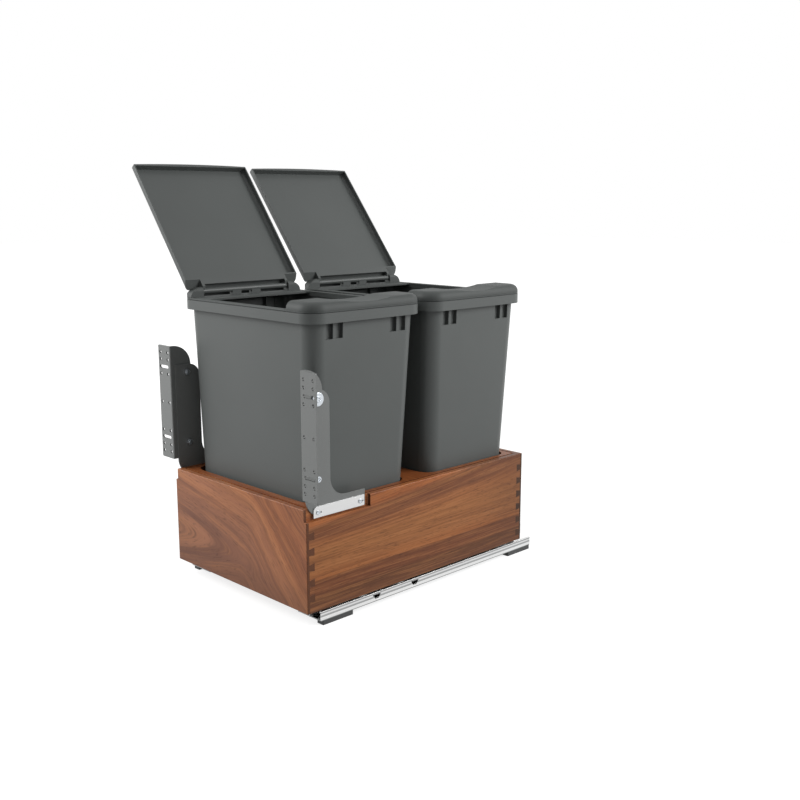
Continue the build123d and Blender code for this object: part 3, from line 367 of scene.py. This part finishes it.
# painted shade and highlight of the rolled grooves over the height of a fixed rail, in millimetres
PAINTED_GROOVE_SHADE = ((8, "#8a8b8b"), (9.0, "#a2a3a3"), (9.8, "#ffffff"), (14.2, "#ffffff"),
           (15.2, "#b4b5b5"), (17.4, "#b0b1b1"), (18.3, "#f4f4f4"), (20.6, "#f2f2f2"),
           (21.4, "#a4a5a5"), (22.8, "#acadad"), (23.4, "#ffffff"), (24.4, "#ffffff"))

# front board: arches and slanting lines, with painted shade darkening it towards its lower edge
front_walnut = lacquered_walnut("walnut_front_board", 0.0, arched_figure, FRONT_BANDS, 0.009,
                                "#4a2c1c", 0.23, ("Z", 0.10, 0.02))
# side boards: straight golden and brown bands with dark end grain in the dovetails, darker
# towards the rear end
side_walnut = lacquered_walnut(
    "walnut_side_board", -QUARTER, lambda tree, place: straight_figure(tree, place, SIDE_LEAN),
    SIDE_BANDS, 0.002, "#3a2419", 0.30, ("X", 0.02, 0.27))
back_walnut = lacquered_walnut(
    "walnut_back_board", 0.0, lambda tree, place: straight_figure(tree, place, BACK_LEAN),
    PLAIN_BANDS, 0.008, "#241812", 0.22)
# deck and bottom: quiet, even veneer, redder than the boards
deck_walnut = lacquered_walnut(
    "walnut_deck", 0.0, lambda tree, place: place.outputs["Y"], TOP_BANDS, 0.006, "#4a2c1c", 0.20)
panel_walnut = lacquered_walnut(
    "walnut_veneered_panel", -QUARTER, lambda tree, place: place.outputs["Y"], TOP_BANDS, 0.006,
    "#4a2c1c", 0.20)
# charcoal polypropylene: satin bins and lids, and a duller frame with a broad soft sheen
bin_plastic = moulded_plastic("moulded_polypropylene_bin", "#505352", 0.42)
frame_plastic = moulded_plastic("moulded_polypropylene_frame", "#404342", 0.62)
lid_plastic = moulded_plastic("moulded_polypropylene_lid", "#4b4e4d", 0.40)
# milky, black and dark grey running parts, plain and dull
saddle_plastic = moulded_plastic("natural_acetal_saddle", "#c9c7c0", 0.45)
housing_plastic = moulded_plastic("black_nylon_housing", "#3b3c3d", 0.45)
foot_plastic = moulded_plastic("grey_nylon_foot", "#454646", 0.5)
bracket_coat = powder_coat("grey_powder_coat", "#646665", 0.42)
# rails: bright zinc with lines along the rolling; the fixed one lighter, with painted shade and
# highlight of its grooves
rail_steel = worked_steel("zinc_plated_rolled_steel", "#b4b5b5", 0.30, ROLLED_LINES)
groove_shaded_steel = worked_steel("zinc_plated_rail_painted_groove_shade", "#e2e3e3", 0.30, ROLLED_LINES, PAINTED_GROOVE_SHADE)
# cover plates: brushed lengthwise, so that they shine in a soft streak
cover_steel = worked_steel("brushed_stainless_cover", "#cbcbcb", 0.36, BRUSHED_LINES)
# fasteners: bright zinc with a cool cast
zinc_plate = worked_steel("bright_zinc_plate", "#b9bec3", 0.30, ZINC_CLOUDS)

# ---------------------------------------------------------------- pieces
SAME_PLACE = 2e-6
FLAT_ENOUGH = math.radians(0.5)
HARD_EDGE = math.radians(30.0)
SHARP_SHADING = math.radians(34)


def finished_copy(node, ease, material):
    """A copy of a CAD node with joined faces and eased edges, that stands for the node."""
    form = bmesh.new()
    form.from_mesh(frame["nodes"][node].data)
    bmesh.ops.remove_doubles(form, verts=form.verts, dist=SAME_PLACE)
    bmesh.ops.dissolve_limit(form, angle_limit=FLAT_ENOUGH, verts=form.verts,
                             edges=form.edges, use_dissolve_boundaries=False)
    if ease:
        hard = [edge for edge in form.edges
                if edge.is_manifold and edge.calc_face_angle(0.0) > HARD_EDGE]
        bmesh.ops.bevel(form, geom=hard, offset=ease, offset_type="OFFSET", affect="EDGES",
                        segments=2, profile=0.5, material=-1, clamp_overlap=True)
    mesh = bpy.data.meshes.new(node + "_finished")
    form.to_mesh(mesh)
    form.free()
    mesh.shade_smooth()
    mesh.set_sharp_from_angle(angle=SHARP_SHADING)
    mesh.materials.append(material)
    piece = bpy.data.objects.new(node + "_finished", mesh)
    bpy.context.scene.collection.objects.link(piece)
    even = piece.modifiers.new("even_shading", "WEIGHTED_NORMAL")
    even.keep_sharp = True
    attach(piece, frame["nodes"][node]["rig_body"])
    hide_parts(node)


def both(name):
    """The left and the right node of a pair."""
    return "left_" + name, "right_" + name


# nodes, radius of the eased edges in metres, material and the record's material slot
finishes = [
    (("front_panel",), 0.0002, front_walnut, "walnut"),
    (("back_panel",), 0.0002, back_walnut, "walnut"),
    (both("side"), 0.0002, side_walnut, "walnut"),
    (("bin_deck",), 0.0, deck_walnut, "walnut"),
    (("bottom_panel",), 0.0, panel_walnut, "veneer_panel"),
    (("front_bin", "rear_bin"), 0.0008, bin_plastic, "bin_plastic"),
    (("front_lid_frame", "rear_lid_frame"), 0.0005, frame_plastic, "lid_frame_plastic"),
    (("front_lid", "rear_lid"), 0.0006, lid_plastic, "lid_plastic"),
    (both("door_angle"), 0.0003, bracket_coat, "bracket_paint"),
    (both("foot_plate"), 0.0003, bracket_coat, "bracket_paint"),
    (both("cover_plate"), 0.0003, cover_steel, "cover_metal"),
    (both("adjuster_disc"), 0.0, zinc_plate, "fastener_metal"),
    (both("bracket_bolts"), 0.0003, zinc_plate, "fastener_metal"),
    (both("bracket_nuts"), 0.0003, zinc_plate, "fastener_metal"),
    (both("cover_screws"), 0.0002, zinc_plate, "fastener_metal"),
    (both("foot_rivets"), 0.0002, zinc_plate, "fastener_metal"),
    (both("cabinet_member"), 0.0003, groove_shaded_steel, "rail_metal"),
    (both("intermediate_member"), 0.0003, rail_steel, "rail_metal"),
    (both("drawer_member"), 0.0003, rail_steel, "rail_metal"),
    (both("bearing_saddles"), 0.0004, saddle_plastic, "saddle_plastic"),
    (both("damper_housing"), 0.0003, housing_plastic, "housing_plastic"),
    (both("locking_clip"), 0.0004, housing_plastic, "housing_plastic"),
    (both("floor_feet"), 0.0004, foot_plastic, "foot_plastic"),
]
for names, ease, material, slot in finishes:
    for name in names:
        finished_copy(name, ease, material)

# ---------------------------------------------------------------- floor and light
FLOOR_HALF = 14.0
NEAR_FLOOR, FAR_FLOOR = 0.7, 2.6    # from the middle: the seen floor turns to white between these
NEAR_LIFT = 0.78                    # how white the near floor is before the lamps light it
SKY_LIGHT = 0.38                    # strength of the room light on the object
TARGET = Vector((0.0, 0.0, 0.33))   # middle of the object


def background_seen(tree):
    """1 for a ray that shows the background, directly or in metal and glass, and 0 for light."""
    rays = add_node(tree, "ShaderNodeLightPath")
    seen = add_node(tree, "ShaderNodeMath", operation="MAXIMUM",
                    links={0: rays.outputs["Is Camera Ray"], 1: rays.outputs["Is Glossy Ray"]})
    return add_node(tree, "ShaderNodeMath", operation="MAXIMUM",
                    links={0: seen.outputs[0], 1: rays.outputs["Is Transmission Ray"]}).outputs[0]


def soft_box(name, azimuth, height, distance, width, power):
    """A square soft light that faces the object."""
    lamp = bpy.data.lights.new(name, "AREA")
    lamp.shape = "SQUARE"
    lamp.size = width
    lamp.energy = power
    turn, rise = math.radians(azimuth), math.radians(height)
    back = Vector((math.sin(turn) * math.cos(rise), -math.cos(turn) * math.cos(rise),
                   math.sin(rise)))
    holder = bpy.data.objects.new(name, lamp)
    holder.location = TARGET + distance * back
    holder.rotation_euler = back.to_track_quat("Z", "Y").to_euler()
    bpy.context.scene.collection.objects.link(holder)


# white painted floor: its lit part keeps the shadow, and what is seen of it is lifted to white
floor_paint = bpy.data.materials.new("white_studio_floor")
floor_paint.use_nodes = True
tree = floor_paint.node_tree
tree.nodes.clear()
matt = add_node(tree, "ShaderNodeBsdfDiffuse", values={"Color": linear("#999999")})
spot = add_node(tree, "ShaderNodeTexCoord")
reach = add_node(tree, "ShaderNodeVectorMath", operation="LENGTH",
                 links={0: spot.outputs["Object"]})
white = add_node(tree, "ShaderNodeMapRange", interpolation_type="SMOOTHSTEP",
                 values={"From Min": NEAR_FLOOR, "From Max": FAR_FLOOR, "To Min": NEAR_LIFT},
                 links={"Value": reach.outputs["Value"]})
lift = add_node(tree, "ShaderNodeMath", operation="MULTIPLY",
                links={0: background_seen(tree), 1: white.outputs[0]})
glow = add_node(tree, "ShaderNodeEmission", links={"Strength": lift.outputs[0]})
both_parts = add_node(tree, "ShaderNodeAddShader",
                      links={0: matt.outputs[0], 1: glow.outputs[0]})
add_node(tree, "ShaderNodeOutputMaterial", links={"Surface": both_parts.outputs[0]})

floor_form = bmesh.new()
bmesh.ops.create_grid(floor_form, x_segments=1, y_segments=1, size=FLOOR_HALF)
floor_mesh = bpy.data.meshes.new("studio_floor")
floor_form.to_mesh(floor_mesh)
floor_form.free()
floor_mesh.materials.append(floor_paint)
floor = bpy.data.objects.new("studio_floor", floor_mesh)
bpy.context.scene.collection.objects.link(floor)

# even room light, seen as plain white
world = bpy.data.worlds.new("white_studio")
bpy.context.scene.world = world
world.use_nodes = True
tree = world.node_tree
tree.nodes.clear()
level = add_node(tree, "ShaderNodeMapRange", values={"To Min": SKY_LIGHT},
                 links={"Value": background_seen(tree)})
sky = add_node(tree, "ShaderNodeBackground", values={"Color": linear("#ffffff")},
               links={"Strength": level.outputs[0]})
add_node(tree, "ShaderNodeOutputWorld", links={"Surface": sky.outputs[0]})

# name, azimuth and height in degrees, distance and width in metres, power in watts
for lamp_values in (("front_left_box", -42.0, 27.0, 3.0, 1.7, 98.0),
                    ("rear_right_box", 128.0, 27.0, 3.0, 1.7, 92.0),
                    ("top_box", 30.0, 80.0, 2.4, 1.8, 5.0)):
    soft_box(*lamp_values)

# ---------------------------------------------------------------- camera
CAMERA_PLACE = (1.4162, -1.30222, 0.69323)
AZIMUTH, ELEVATION = math.radians(45.43), math.radians(11.11)
FOCAL_LENGTH, SENSOR_WIDTH = 46.33, 36.0    # millimetres

across_view = Vector((math.cos(AZIMUTH), math.sin(AZIMUTH), 0.0))
back_view = Vector((math.sin(AZIMUTH) * math.cos(ELEVATION),
                    -math.cos(AZIMUTH) * math.cos(ELEVATION), math.sin(ELEVATION)))
up_view = back_view.cross(across_view)
lens = bpy.data.cameras.new("photo_camera")
lens.sensor_width = SENSOR_WIDTH
lens.lens = FOCAL_LENGTH
lens.clip_end = 60.0
camera = bpy.data.objects.new("photo_camera", lens)
camera.matrix_world = Matrix.Translation(CAMERA_PLACE) @ Matrix(
    (across_view, up_view, back_view)).transposed().to_4x4()
bpy.context.scene.collection.objects.link(camera)
bpy.context.scene.camera = camera
bpy.context.scene.view_settings.view_transform = "Standard"
